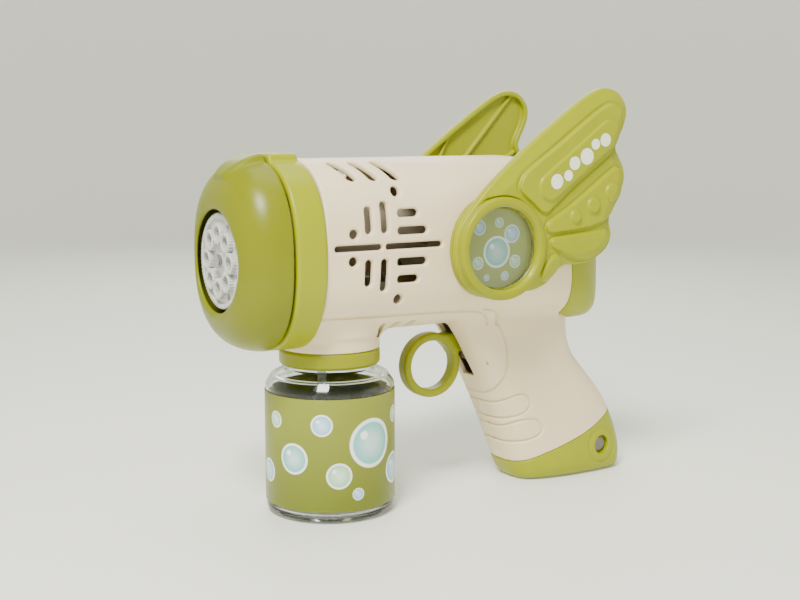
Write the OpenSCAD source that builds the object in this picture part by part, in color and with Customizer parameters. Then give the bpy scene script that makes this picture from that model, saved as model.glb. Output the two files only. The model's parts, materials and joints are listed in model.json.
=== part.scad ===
// Toy bubble machine in the form of a pistol: a round barrel with a bubble wheel in its nose,
// a screw-on solution bottle, a ring trigger, a battery grip and a pair of side wings.
// Millimetres. The barrel points along -X, +Z is up, the left side of the toy is -Y.
// Modules are drawn about the barrel; place() drops them on the ground plane and centres them.

/* [Barrel] */
// half width of the barrel
barrel_hw = 31; // [28:0.5:34]
// underside of the barrel
barrel_lo = -10; // [-14:0.5:-6]
// top of the barrel
barrel_hi = 57; // [50:0.5:62]
// front end of the cream barrel
barrel_x0 = -48.3; // [-52:0.1:-44]
// squareness of the barrel section
barrel_n = 2.4; // [2:0.1:4]
// plastic wall
wall = 2.3; // [1.6:0.1:3]

/* [Nose] */
// front face of the nose
nose_x0 = -80; // [-84:0.5:-76]
// joint line between nose and collar
nose_x1 = -61.5; // [-64:0.1:-58]
// underside of nose and collar
nose_lo = -14.5; // [-18:0.5:-10]
// mouth radius
mouth_r = 18.8; // [16:0.1:20]

/* [Bubble wheel] */
// wheel axis height
wheel_z = 20; // [18:0.1:22]
// wheel rim radius
wheel_r = 17.8; // [15:0.1:18.4]
// number of ring nozzles
nozzles = 8; // [5:1:10]

/* [Gears] */
// gear module
gm = 0.6; // [0.5:0.05:0.8]
// teeth on the wheel's ring gear
t_ring = 50; // [40:1:60]
// teeth on the wheel pinion
t_wpin = 12; // [12:1:16]
// teeth on the drive gear
t_drive = 38; // [30:1:44]
// teeth on the idler's small gear
t_idl_s = 12; // [12:1:16]
// teeth on the idler's large gear
t_idl_l = 36; // [30:1:44]
// teeth on the motor pinion
t_mot = 12; // [12:1:16]

/* [Bottle] */
// bottle axis
bottle_x = -32; // [-36:0.5:-28]
// bottle radius
bottle_r = 25.2; // [22:0.1:27]
// ground level below the barrel's datum
ground = -80; // [-90:0.5:-70]

/* [Trigger] */
// finger ring centre, along the toy
ring_x = 14; // [12:0.5:16]
// finger ring centre height
ring_z = -27.5; // [-30:0.5:-25]
// finger ring outside radius
ring_ro = 13.3; // [12:0.1:15]
// finger ring inside radius
ring_ri = 10.3; // [9.6:0.1:12]
// half width of the finger ring
ring_hw = 3; // [2:0.1:4]

/* [Grip] */
// lean of the grip from vertical
lean = 26; // [20:0.5:30]
// half thickness of the grip
grip_hw = 17; // [15:0.5:19]

/* [Wings] */
// hub centre along the toy
hub_x = 23.9; // [20:0.1:28]
// hub centre height
hub_z = 22.5; // [18:0.1:26]
// hub radius
hub_r = 20; // [18:0.1:22]

/* [Hidden] */
$fn = 96;
eps = 0.01;
base_back = 108.6;
// boss of the hub that the wing turns on
boss_r = 17.6;
shift_x = -(nose_x0 + base_back) / 2;
drive_z = wheel_z - gm * (t_ring + t_wpin) / 2;
idler_z = drive_z + gm * (t_drive + t_idl_s) / 2;
motor_z = idler_z + gm * (t_idl_l + t_mot) / 2;
mid_z = (barrel_lo + barrel_hi) / 2;
half_h = (barrel_hi - barrel_lo) / 2;
nose_mid = (nose_lo + barrel_hi) / 2;
nose_hh = (barrel_hi - nose_lo) / 2;
// battery pack datum: middle of its lower end, and the grip's own axes
pack = [77.8, -68.4];

// ---------- helpers ----------
module place() translate([shift_x, 0, -ground]) children();

function unit(v) = v / norm(v);
function lnorm(a, b) = let (u = unit(b - a)) [-u[1], u[0]];
// moves every side of a counter-clockwise outline inwards by d
function inset(p, d) = let (n = len(p)) [for (i = [0:n - 1])
  let (a = p[(i + n - 1) % n], b = p[i], c = p[(i + 1) % n],
       n1 = lnorm(a, b), n2 = lnorm(b, c), m = unit(n1 + n2))
  b + m * d / max(0.35, m * n1)];
function spow(v, e) = sign(v) * pow(abs(v), e);
// rounded-box section, half sizes a and b, squareness n, centre height c
function oval(a, b, n, c, st = 7.5) = [for (t = [0:st:359.9])
  [a * spow(cos(t), 2 / n), c + b * spow(sin(t), 2 / n)]];
function barrel_sec(d) = oval(barrel_hw - d, half_h - d, barrel_n, mid_z);
function nose_sec(d) = oval(barrel_hw + 0.2 - d, nose_hh - d, 2.3, nose_mid);

// outline in Y,Z pulled along X
module along_x(x0, x1, pts) translate([x0, 0, 0]) rotate([90, 0, 90])
  linear_extrude(x1 - x0) polygon(pts);
// outline in X,Z pulled along Y
module along_y(y0, y1, pts) translate([0, y1, 0]) rotate([90, 0, 0])
  linear_extrude(y1 - y0) polygon(pts);
module rod_x(x0, x1, r, y = 0, z = 0, fn = 48) translate([x0, y, z]) rotate([0, 90, 0])
  cylinder(h = x1 - x0, r = r, $fn = fn);
module rod_y(y0, y1, r, x = 0, z = 0, fn = 48) translate([x, y0, z]) rotate([-90, 0, 0])
  cylinder(h = y1 - y0, r = r, $fn = fn);
module box(a, b) translate(a) cube(b - a);
// grip axes: local X across the grip to the rear, local Z up the grip
module grip_axes() translate([pack[0], 0, pack[1]]) rotate([0, -lean, 0]) children();
module side(s) if (s < 0) box([-200, -200, -200], [200, 0, 200]);
  else box([-200, 0, -200], [200, 200, 200]);
module mirrored(s) if (s < 0) children(); else mirror([0, 1, 0]) children();

// involute gear outline
function inv_pt(rb, a) = [rb * (cos(a) + a * PI / 180 * sin(a)),
                          rb * (sin(a) - a * PI / 180 * cos(a))];
function inv_ang(rb, r) = r <= rb ? 0 : sqrt(pow(r / rb, 2) - 1) * 180 / PI;
function rot2(p, a) = [p[0] * cos(a) - p[1] * sin(a), p[0] * sin(a) + p[1] * cos(a)];
function gear_pts(t, ph, lash = 0.14) = let (r = gm * t / 2, rb = r * cos(20), ra = r + 0.8 * gm,
    rf = r - 1.2 * gm, ap = inv_ang(rb, r), pp = inv_pt(rb, ap), off = atan2(pp[1], pp[0]),
    half = 90 / t - lash / 2 / r * 180 / PI, am = inv_ang(rb, ra))
  [for (k = [0:t - 1]) let (c = ph + k * 360 / t)
    each concat([rot2([rf, 0], c - half - off - 0.35 * 90 / t)],
      [for (s = [0:3]) let (q = rf < rb && s == 0 ? [rb, 0] : inv_pt(rb, am * s / 3))
        rot2(q, c - half - off)],
      [for (s = [3:-1:0]) let (q = rf < rb && s == 0 ? [rb, 0] : inv_pt(rb, am * s / 3))
        rot2([q[0], -q[1]], c + half + off)],
      [rot2([rf, 0], c + half + off + 0.35 * 90 / t)])];
// gear about X, ph is the angle of one tooth from +Y towards +Z
module gear_x(x0, x1, t, ph, z, bore) difference() {
  translate([x0, 0, z]) rotate([90, 0, 90]) linear_extrude(x1 - x0) polygon(gear_pts(t, ph));
  if (bore > 0) rod_x(x0 - 1, x1 + 1, bore, 0, z);
}

// ---------- outlines ----------
function arc(cx, cz, rx, rz, a0, a1, st) = [for (t = [a0:st:a1]) [cx + rx * cos(t), cz + rz * sin(t)]];
// side view of the barrel with its rounded tail, d inside the surface
function tail_side(d) = concat([[-90, -40], [72, -40]], [[72, -13.5 + d]],
  arc(72, 8, 20 - d, 21.5 - d, -80, -10, 14), arc(40, 8, 52 - d, 49 - d, 0, 84, 7),
  [[40, barrel_hi - d], [-90, barrel_hi - d]]);
// plan view of the barrel with its rounded tail
function tail_plan(d) = concat([[-90, -barrel_hw + d]], arc(44, 0, 48 - d, barrel_hw - d, -90, 90, 9),
  [[-90, barrel_hw - d]]);
// side view of grip and base
grip_line = [[22, 12], [18, -9], [29.4, -28.6], [34.2, -37.6], [38.9, -47.9], [43.6, -59.5], [47.6, -69.5],
  [50, -76], [53.5, -80], [103.5, -80], [107.4, -76], [base_back, -69], [106.3, -57.2], [100.9, -48],
  [93.3, -40.5], [84.8, -32.1], [78.6, -25], [76.8, -17.5], [77.6, -11], [77, 12]];

module barrel_solid(d) intersection() {
  along_x(-90, 110, barrel_sec(d));
  along_y(-40, 40, tail_side(d));
  linear_extrude(300, center = true) polygon(tail_plan(d));
}
module tail_solid(d) intersection() {
  along_x(40, 110, oval(barrel_hw - d, (barrel_hi + 13.5) / 2 - d, barrel_n, (barrel_hi - 13.5) / 2));
  along_y(-40, 40, tail_side(d));
  linear_extrude(300, center = true) polygon(tail_plan(d));
}
module grip_solid(d) intersection() {
  along_y(-40, 40, inset(grip_line, d));
  grip_axes() translate([-2, 0, -30]) linear_extrude(140)
    polygon(oval(34 - d, grip_hw - d, 2.8, 0));
}
// everything in front of the curved joint line of the tail
module ahead_of_tail(g) rod_y(-60, 60, 225 - g, -158, -20, 360);
// everything above the joint line of the grip base
module above_base(g) along_y(-60, 60, [[0, -69 - 45 * 0.254 + g], [130, -69 + 85 * 0.254 + g], [130, 60],
  [0, 60]]);

// ---------- vents, cut through one side ----------
module vents() {
  for (p = [[-17.4, 44.9], [-36.9, 30.1], [-37.2, 20.1], [-17, 4.9]])
    rod_y(-45, -18, 1.7, p[0], p[1]);
  for (p = [[-30.6, 30, 39.8], [-23.8, 30, 41.4], [-30.7, 10.6, 20.4], [-24, 8.4, 20.4]])
    slot_v(p[0], p[1], p[2]);
  for (p = [[-18, -9.2, 37.1], [-18.2, -5.5, 30.6], [-18.5, -5.7, 19], [-18.2, -9.2, 12.5]])
    slot_h(p[0], p[1], p[2], 1.35);
  slot_h(-45, -25.3, 25, 1.1);
  slot_h(-23, 1.2, 25, 1.1);
  for (x = [-35.5, -26.4, -17]) upper_slot(x);
  for (x = [-19.8, -13.3, -6.1]) lower_slot(x);
}
module slot_v(x, z0, z1) {
  rod_y(-45, -18, 1.3, x, z0 + 1.3);
  rod_y(-45, -18, 1.3, x, z1 - 1.3);
  box([x - 1.3, -45, z0 + 1.3], [x + 1.3, -18, z1 - 1.3]);
}
module slot_h(x0, x1, z, r) {
  rod_y(-45, -18, r, x0 + r, z);
  rod_y(-45, -18, r, x1 - r, z);
  box([x0 + r, -45, z - r], [x1 - r, -18, z + r]);
}
module upper_slot(x) translate([x, -16.7, 52.7]) rotate([29, 0, 0]) rotate([0, 0, 14.4]) round_slot(4.6, 1.25);
module lower_slot(x) translate([x, -16.5, -8.2]) rotate([-16, 0, 0]) rotate([0, 0, -16]) round_slot(3.4, 1.15);
module round_slot(l, r) {
  box([-r, -l, -9], [r, l, 9]);
  for (s = [-1, 1]) translate([0, s * l, -9]) cylinder(h = 18, r = r, $fn = 32);
}

// screw positions of the two shells
screw_at = [[-42.6, 51.2], [-9.4, 51.2], [50, 48.5], [56, 3], [1, -4.6], [46.6, -52], [86.2, -40]];

module body_shell(s) place() color([0.90, 0.87, 0.78]) intersection() {
  mirrored(s) side(-1);
  difference() {
    union() {
      difference() {
        union() {
          intersection() {
            barrel_solid(0);
            ahead_of_tail(0);
            box([barrel_x0, -60, -60], [120, 60, 90]);
          }
          // spigot under the collar
          along_x(-59.5, barrel_x0 + 1, oval(barrel_hw - 3.2, half_h - 3.2, barrel_n, mid_z));
          intersection() {
            grip_solid(0);
            above_base(0);
          }
          translate([bottle_x, 0, -15.6]) cylinder(h = 9, r1 = 20, r2 = 22);
        }
        intersection() {
          barrel_solid(wall);
          box([barrel_x0 + 2, -60, -60], [120, 60, 90]);
        }
        along_x(-62, -46, oval(barrel_hw - 3.2 - 1.8, half_h - 3.2 - 1.8, barrel_n, mid_z));
        grip_solid(wall);
        translate([bottle_x, 0, -30]) cylinder(h = 40, r = 17);
      }
      // screw posts
      intersection() {
        for (p = screw_at) rod_y(-40, 40, 3.4, p[0], p[1]);
        union() {
          barrel_solid(0.8);
          grip_solid(0.8);
        }
      }
    }
    mirrored(s) vents();
    for (p = screw_at) {
      rod_y(-7, 60, 1.25, p[0], p[1]);
      rod_y(5, 60, 2.6, p[0], p[1]);
    }
    // trigger slot in the front of the grip
    box([5, -4.3, -33.4], [36.5, 4.3, barrel_lo]);
    // screw holes of the hub rings
    rod_y(-60, 60, 1.3, hub_x, hub_z);
  }
}
module front_collar() place() color([0.72, 0.75, 0.10]) difference() {
  union() {
    intersection() {
      along_x(-60.7, barrel_x0, nose_sec(0));
      union() {
        along_x(-60.7, barrel_x0 - 1.2, nose_sec(0));
        along_x(-60.7, barrel_x0, nose_sec(0.8));
      }
    }
    box([-60.7, -6.5, 50], [barrel_x0, 6.5, 60]);
  }
  along_x(-62, -40, oval(barrel_hw - 3.1, half_h - 3.1, barrel_n, mid_z));
  // room for the bottle socket
  translate([bottle_x, 0, -15.6]) cylinder(h = 9, r1 = 20.08, r2 = 22.08);
}

module nose_outer(d) intersection() {
  along_x(nose_x0 + d, nose_x1, nose_sec(d));
  linear_extrude(300, center = true) polygon(concat([[nose_x1 + 5, -32 + d], [nose_x1 + 5, 32 - d]],
    [for (t = [90:15:180]) [nose_x0 + 9 + (9 - d) * cos(t), 23 + (9 - d) * sin(t)]],
    [for (t = [180:15:270]) [nose_x0 + 9 + (9 - d) * cos(t), -23 + (9 - d) * sin(t)]]));
  along_y(-60, 60, concat([[nose_x1 + 5, nose_lo + d], [nose_x1 + 5, barrel_hi - d]],
    [for (t = [90:15:180]) [nose_x0 + 9 + (9 - d) * cos(t), barrel_hi - 9 + (9 - d) * sin(t)]],
    [for (t = [180:15:270]) [nose_x0 + 9 + (9 - d) * cos(t), nose_lo + 9 + (9 - d) * sin(t)]]));
}
module nose_cap() place() color([0.72, 0.75, 0.10]) difference() {
  union() {
    nose_outer(0);
    along_y(-6.5, 6.5, [[-76, 50], [nose_x1, 50], [nose_x1, 60], [-67, 59.4], [-73, 57]]);
  }
  intersection() {
    nose_outer(wall);
    box([nose_x0, -60, -60], [nose_x1, 60, 90]);
  }
  along_x(nose_x1 - 1, nose_x1 + 2, nose_sec(wall));
  rod_x(-90, -70, mouth_r, 0, wheel_z, 96);
}

module tail_cap() place() color([0.72, 0.75, 0.10]) difference() {
  tail_solid(0);
  tail_solid(wall);
  ahead_of_tail(-0.15);
  intersection() {
    grip_solid(-0.15);
    box([0, -60, -60], [79.2, 60, 20]);
  }
}

wing_line = [[10.2, 36.8], [19, 46.4], [30.5, 56.2], [42.2, 65.1], [59.1, 76.6], [67.4, 81.8], [74, 84],
  [80.5, 82.8], [85, 78.4], [85.6, 73], [83.2, 65.8], [80.6, 60.4], [83.8, 56], [85.4, 50], [84.4, 44],
  [81, 38], [78.3, 32.6], [78.2, 29.6], [79.2, 25.3], [77.8, 21.2], [74.4, 17.8], [67.8, 14.6], [55.1, 14],
  [51.4, 11.4], [47.8, 8.2], [44.4, 6.2], [40.5, 5.1], [32.7, 4.7]];
function rev(p) = [for (i = [len(p) - 1:-1:0]) p[i]];
module wing(s) place() color([0.76, 0.80, 0.16]) mirrored(s) difference() {
  union() {
    along_y(-37, -31.4, rev(wing_line));
    along_y(-38, -36.9, inset(rev(wing_line), 2));
    rod_y(-35.1, -31.4, hub_r - 0.1, hub_x, hub_z, 128);
  }
  // round end lies under the rim of the hub and turns on its boss
  rod_y(-60, -35.1, hub_r + 0.1, hub_x, hub_z, 128);
  rod_y(-60, 0, boss_r + 0.08, hub_x, hub_z, 128);
  // hollow back
  difference() {
    along_y(-35.2, -31, inset(rev(wing_line), 2));
    rod_y(-40, 0, hub_r + 1.6, hub_x, hub_z, 96);
    for (k = [0:2]) translate([hub_x, -40, hub_z]) rotate([0, -18 - 22 * k, 0])
      cube([90, 20, 1.4]);
  }
}
module hub_ring(s) place() color([0.66, 0.70, 0.10]) mirrored(s) difference() {
  union() {
    rod_y(-39, -35.2, hub_r, hub_x, hub_z, 128);
    rod_y(-35.3, -31.05, boss_r, hub_x, hub_z, 128);
    rod_y(-31.3, -24.6, hub_r - 0.1, hub_x, hub_z, 128);
  }
  rod_y(-60, -34, 16, hub_x, hub_z, 96);
  rod_y(-60, -32.8, 14, hub_x, hub_z, 96);
  barrel_solid(-0.04);
  rod_y(-60, 0, 1.3, hub_x, hub_z);
}
module hub_label(s) place() color([0.95, 0.97, 0.98]) mirrored(s) rod_y(-34.4, -34, 15.9, hub_x, hub_z, 96);
module hub_lens(s) place() color([0.9, 0.95, 1, 0.3]) mirrored(s) rod_y(-36.4, -35.4, 15.95, hub_x, hub_z, 96);

module bubble_wheel() place() color([0.86, 0.88, 0.86, 0.8]) difference() {
  union() {
    rod_x(-76.5, -74, wheel_r, 0, wheel_z, 128);
    difference() {
      gear_x(-74.1, -70.5, t_ring, 270 + 180 / t_ring, wheel_z, 0);
      rod_x(-80, -60, 13.5, 0, wheel_z);
    }
    rod_x(-77.2, -69.5, 3, 0, wheel_z);
    for (k = [0:nozzles - 1]) rotate_about(k) rod_x(-78.6, -74.1, 3.5, 10.2, wheel_z);
  }
  rod_x(-90, -60, 1.55, 0, wheel_z);
  for (k = [0:nozzles - 1]) rotate_about(k) rod_x(-90, -60, 2.6, 10.2, wheel_z);
}
module rotate_about(k) translate([0, 0, wheel_z]) rotate([k * 360 / nozzles, 0, 0])
  translate([0, 0, -wheel_z]) children();

module wheel_axle() place() color([0.7, 0.7, 0.72]) union() {
  rod_x(-77.6, -61.5, 1.5, 0, wheel_z);
  rod_x(-78.8, -77.5, 2.6, 0, wheel_z);
}
module nose_bulkhead() place() color([0.88, 0.85, 0.76]) difference() {
  along_x(-64, -62, nose_sec(wall + 0.1));
  difference() {
    rod_x(-70, -50, 14, 0, wheel_z);
    rod_x(-70, -50, 4, 0, wheel_z);
    for (a = [30, 150, 270]) translate([-70, 0, wheel_z]) rotate([a, 0, 0]) box([0, 0, -1], [20, 20, 1]);
  }
  rod_x(-70, -50, 1.5, 0, wheel_z);
  rod_x(-70, -50, 1.3, 0, drive_z);
  rod_x(-70, -50, 1.3, -6.7, 2);
}
module drip_tray() place() color([0.88, 0.85, 0.76]) difference() {
  intersection() {
    box([-77.3, -14, -10.5], [-64.1, 14, -1.5]);
    nose_outer(wall + 0.1);
  }
  intersection() {
    box([-76.2, -12.8, -9.3], [-65.3, 12.8, 0]);
    nose_outer(wall + 1.3);
  }
}
module led_board() place() color([0.15, 0.45, 0.25]) difference() {
  rod_x(-65.3, -64.1, 7, 0, wheel_z);
  rod_x(-70, -60, 1.55, 0, wheel_z);
}
module leds() place() color([1, 0.95, 0.75]) for (a = [90, 210, 330])
  translate([-65.4, 4.6 * cos(a), wheel_z + 4.6 * sin(a)]) {
    rotate([0, -90, 0]) cylinder(h = 1.4, r = 1.5, $fn = 32);
    translate([-1.4, 0, 0]) sphere(r = 1.5, $fn = 32);
  }
module air_duct() place() color([0.85, 0.83, 0.75]) difference() {
  union() {
    rod_x(-47, 6.7, 12, 0, motor_z, 64);
    rod_x(-61.8, -46, 18.6, 0, 24, 64);
  }
  rod_x(-80, 20, 10.8, 0, motor_z, 64);
  rod_x(-80, -47.2, 17.4, 0, 24, 64);
}
module fan_housing() place() color([0.85, 0.83, 0.75]) difference() {
  rod_x(6.8, 21.2, 20, 0, motor_z, 96);
  rod_x(8.4, 19.8, 18.6, 0, motor_z, 96);
  rod_x(0, 15, 10.8, 0, motor_z, 64);
  rod_x(15, 30, 12.5, 0, motor_z, 64);
}
module fan_impeller() place() color([0.92, 0.92, 0.9]) difference() {
  union() {
    rod_x(9.4, 18.8, 4, 0, motor_z);
    rod_x(17.6, 18.8, 12, 0, motor_z);
    for (k = [0:7]) translate([0, 0, motor_z]) rotate([k * 45, 0, 0])
      translate([14, 0, 0]) rotate([0, 0, 24]) box([-4, -0.6, 3], [4, 0.6, 17.4]);
  }
  rod_x(0, 30, 1, 0, motor_z);
}
module motor() place() color([0.75, 0.76, 0.78]) difference() {
  union() {
    intersection() {
      rod_x(34, 59, 10, 0, motor_z, 64);
      box([30, -7.6, 0], [70, 7.6, 60]);
    }
    for (s = [-1, 1]) box([59, s * 4 - 1, motor_z - 0.3], [62, s * 4 + 1, motor_z + 0.3]);
  }
  rod_x(30, 58, 1.05, 0, motor_z);
}
module motor_shaft() place() color([0.7, 0.7, 0.72]) rod_x(9, 57.5, 1, 0, motor_z);
module motor_pinion() place() color([0.8, 0.65, 0.3]) gear_x(24.4, 27.2, t_mot, 270, motor_z, 1);
module idler_gear() place() color([0.93, 0.93, 0.92]) union() {
  gear_x(24.4, 27.2, t_idl_l, 90 + 180 / t_idl_l, idler_z, 1);
  gear_x(27.2, 31, t_idl_s, 270, idler_z, 1);
}
module idler_shaft() place() color([0.7, 0.7, 0.72]) rod_x(22, 33.6, 1, 0, idler_z);
module drive_gear() place() color([0.93, 0.93, 0.92]) gear_x(28.2, 31, t_drive, 90 + 180 / t_drive, drive_z, 1.25);
module drive_shaft() place() color([0.7, 0.7, 0.72]) rod_x(-73.6, 33.6, 1.25, 0, drive_z);
module wheel_pinion() place() color([0.93, 0.93, 0.92]) gear_x(-73.6, -70.7, t_wpin, 90, drive_z, 1.25);
module gearbox_plate_front() place() color([0.25, 0.26, 0.28]) difference() {
  box([21.6, -12, -5], [23.4, 12, 40]);
  rod_x(20, 30, 2.5, 0, motor_z);
  rod_x(20, 30, 1.05, 0, idler_z);
  rod_x(20, 30, 1.3, 0, drive_z);
}
module gearbox_plate_rear() place() color([0.25, 0.26, 0.28]) difference() {
  union() {
    box([32.2, -12, -5], [34, 12, 42]);
    for (s = [-1, 1]) box([23.4, s * 11 - 1, -3], [32.3, s * 11 + 1, 2.2]);
  }
  rod_x(30, 36, 2.5, 0, motor_z);
  rod_x(30, 36, 1.05, 0, idler_z);
  rod_x(30, 36, 1.3, 0, drive_z);
  gear_clear();
}
module gear_clear() rod_x(28, 31.3, 12.2, 0, drive_z);
module pump_housing() place() color([0.88, 0.85, 0.76]) difference() {
  union() {
    rod_x(-16.5, -5.5, 8.9, 0, drive_z, 64);
    box([-16.5, -8.9, drive_z], [-5.5, 8.9, 9]);
  }
  rod_x(-15, -7, 7.9, 0, drive_z, 64);
  box([-15, -7.9, drive_z], [-7, 7.9, 10]);
  rod_x(-20, 0, 1.3, 0, drive_z);
}
module pump_rotor() place() color([0.93, 0.93, 0.92]) difference() {
  union() {
    for (x = [-14.7, -8.5]) rod_x(x, x + 1.2, 5, 0, drive_z);
    rod_x(-14.7, -7.3, 2, 0, drive_z);
  }
  rod_x(-20, 0, 1.25, 0, drive_z);
  for (a = [90, 210, 330]) rod_x(-20, 0, 0.55, 3.7 * cos(a), drive_z + 3.7 * sin(a), 24);
}
module pump_rollers() place() color([0.8, 0.8, 0.82]) for (a = [90, 210, 330]) {
  rod_x(-13.4, -8.6, 1.55, 3.7 * cos(a), drive_z + 3.7 * sin(a), 32);
  rod_x(-14.7, -7.3, 0.55, 3.7 * cos(a), drive_z + 3.7 * sin(a), 24);
}
// hose: half loop round the rotor, a leg up each side, then runs to the bottle and to the tray
module bend(p, from) translate(p) rotate([90, 0, 0]) rotate([0, 0, from])
  rotate_extrude(angle = 90, $fn = 48) translate([3, 0]) circle(r = 1.1, $fn = 24);
module pump_hose() place() color([0.85, 0.9, 0.9, 0.6]) union() {
  translate([-11, 0, drive_z]) rotate([0, 90, 0]) rotate([0, 0, -90]) rotate_extrude(angle = 180, $fn = 64)
    translate([6.7, 0]) circle(r = 1.1, $fn = 24);
  for (s = [-1, 1]) translate([-11, s * 6.7, drive_z]) cylinder(h = 12 - 3 - drive_z, r = 1.1, $fn = 24);
  for (s = [-1, 1]) bend([-14, s * 6.7, 9], 0);
  rod_x(-29, -14, 1.1, 6.7, 12, 24);
  bend([-29, 6.7, 9], 90);
  translate([-32, 6.7, -2.9]) cylinder(h = 11.9, r = 1.1, $fn = 24);
  rod_x(-38, -14, 1.1, -6.7, 12, 24);
  bend([-38, -6.7, 9], 90);
  translate([-41, -6.7, 5]) cylinder(h = 4, r = 1.1, $fn = 24);
  bend([-44, -6.7, 5], -90);
  rod_x(-66, -44, 1.1, -6.7, 2, 24);
}
module suction_tube() place() color([0.9, 0.93, 0.93, 0.6]) translate([bottle_x, 6.7, 0]) difference() {
  translate([0, 0, -72]) cylinder(h = 69.1, r = 1.8, $fn = 32);
  translate([0, 0, -80]) cylinder(h = 90, r = 1.1, $fn = 32);
}
module tube_adapter() place() color([0.88, 0.85, 0.76]) difference() {
  translate([bottle_x, 0, -9.4]) cylinder(h = 1.8, r = 16.2);
  translate([bottle_x, 6.7, -20]) cylinder(h = 30, r = 1.83, $fn = 32);
  translate([bottle_x, -7, -20]) cylinder(h = 30, r = 1.4, $fn = 32);
}
module neck_seal() place() color([0.2, 0.2, 0.2]) translate([bottle_x, 0, -10]) difference() {
  cylinder(h = 0.6, r = 16);
  translate([0, 0, -1]) cylinder(h = 3, r = 13.6);
}
module bottle_collar() place() color([0.66, 0.70, 0.10]) translate([bottle_x, 0, 0]) difference() {
  union() {
    translate([0, 0, -22]) cylinder(h = 6.3, r = 19.7, $fn = 128);
    translate([0, 0, -15.8]) cylinder(h = 8.2, r = 16.95, $fn = 96);
  }
  translate([0, 0, -30]) cylinder(h = 30, r = 16.3, $fn = 96);
}
module bottle() place() color([0.9, 0.95, 0.95, 0.35]) translate([bottle_x, 0, 0]) rotate_extrude($fn = 128)
  polygon([[0, -77.2], [16, -77.2], [19, ground], [22, ground], [24.2, -79.2], [bottle_r, -77], [bottle_r, -31.5],
    [24.6, -28.6], [22.8, -26.4], [19.8, -24.6], [16.8, -23.4], [15.9, -22], [15.9, -10.1], [14.4, -10.1],
    [14.4, -23], [16.2, -24.8], [19.3, -26.1], [21.8, -27.7], [23.2, -29.7], [23.8, -32], [23.8, -76],
    [23, -77.6], [20.4, -78], [17, -75.4], [0, -75.4]]);
module bottle_label() place() color([0.65, 0.68, 0.29]) translate([bottle_x, 0, 0]) difference() {
  translate([0, 0, -75]) cylinder(h = 43.2, r = bottle_r + 0.25, $fn = 128);
  translate([0, 0, -80]) cylinder(h = 60, r = bottle_r, $fn = 128);
}

module trigger() place() color([0.72, 0.75, 0.10]) difference() {
  union() {
    rod_y(-ring_hw, ring_hw, ring_ro, ring_x, ring_z, 96);
    box([ring_x + 6, -ring_hw, -23], [28.1, ring_hw, -15.2]);
    box([28, -4, -23], [42, 4, -15.2]);
    box([37.5, -1.5, -15.3], [43, 1.5, -12.2]);
  }
  rod_y(-10, 10, ring_ri, ring_x, ring_z, 96);
}
module trigger_spring() place() color([0.75, 0.76, 0.78]) union() {
  for (k = [0:5]) translate([42.4 + k * 1.62, 0, -19.2]) rotate([0, 90, 0]) rotate_extrude($fn = 48)
    translate([2, 0]) circle(r = 0.3, $fn = 16);
  for (k = [0:4]) translate([42.4 + k * 1.62, 0, -19.2 + (k % 2 == 0 ? 2 : -2)]) rotate([0, 90, 0])
    cylinder(h = 1.62, r = 0.28, $fn = 16);
}
module trigger_guide() place() color([0.80, 0.77, 0.68]) difference() {
  intersection() {
    box([33.4, -14.4, -27.5], [35.2, 14.4, -9.5]);
    grip_solid(wall + 0.05);
  }
  box([30, -4.15, -23.2], [40, 4.15, -11.9]);
}
module switch_bracket() place() color([0.25, 0.26, 0.28]) union() {
  box([51.2, -14, -21.6], [52.6, 14, -15.6]);
  box([51.2, -14, -15.7], [60, 14, -14.6]);
}
module micro_switch() place() color([0.12, 0.12, 0.13]) union() {
  box([50, -3, -14.5], [60, 3, -8]);
  box([48.8, -1.6, -14], [50.1, 1.6, -12.4]);
}
module battery_box() place() color([0.80, 0.77, 0.68]) grip_axes() difference() {
  box([-15.9, -8.4, 0.8], [15.9, 8.4, 51.9]);
  box([-15.1, -7.5, -1], [15.1, 7.5, 51.1]);
}
module battery_cells() place() color([0.2, 0.35, 0.6]) grip_axes() for (s = [-1, 1])
  translate([s * 7.3, 0, 0]) {
    cylinder(h = 49, r = 7.1, $fn = 48);
    translate([0, 0, s < 0 ? 49 : -1]) cylinder(h = 1, r = 2.7, $fn = 32);
  }
module battery_contacts() place() color([0.78, 0.78, 0.76]) grip_axes() {
  for (s = [-1, 1]) box([s * 7.3 - 5, -5, 50.1], [s * 7.3 + 5, 5, 50.6]);
  box([-12.5, -5, -1.7], [12.5, 5, -1.1]);
  translate([7.3, 0, 49]) cylinder(h = 1.2, r = 3, $fn = 32);
  translate([-7.3, 0, -1.2]) cylinder(h = 1.2, r = 3, $fn = 32);
}
module wires() place() color([0.7, 0.1, 0.1]) for (s = [-1, 1]) {
  translate([62.9, s * 4, -11]) cylinder(h = motor_z + 11, r = 0.7, $fn = 20);
  translate([62, s * 4, motor_z]) rotate([0, 90, 0]) cylinder(h = 0.9, r = 0.6, $fn = 20);
}

module grip_base() place() color([0.66, 0.70, 0.10]) difference() {
  grip_solid(0);
  grip_solid(wall);
  above_base(-0.15);
  // screw recess
  rod_y(-40, -12.6, 4.2, 92.4, -68);
  rod_y(-40, 40, 1.3, 92.4, -68);
}
module base_screw() place() color([0.7, 0.7, 0.72]) union() {
  rod_y(-14.2, -12.7, 2.8, 92.4, -68);
  rod_y(-12.8, -8, 1.25, 92.4, -68);
}
module hub_screws() place() color([0.7, 0.7, 0.72]) for (s = [-1, 1]) mirrored(s) {
  rod_y(-33.95, -32.8, 2.6, hub_x, hub_z);
  rod_y(-33, -27, 1.28, hub_x, hub_z);
}
module body_screws() place() color([0.7, 0.7, 0.72]) for (p = screw_at) {
  rod_y(5, 6.6, 2.5, p[0], p[1]);
  rod_y(-6, 5.1, 1.25, p[0], p[1]);
}

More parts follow.
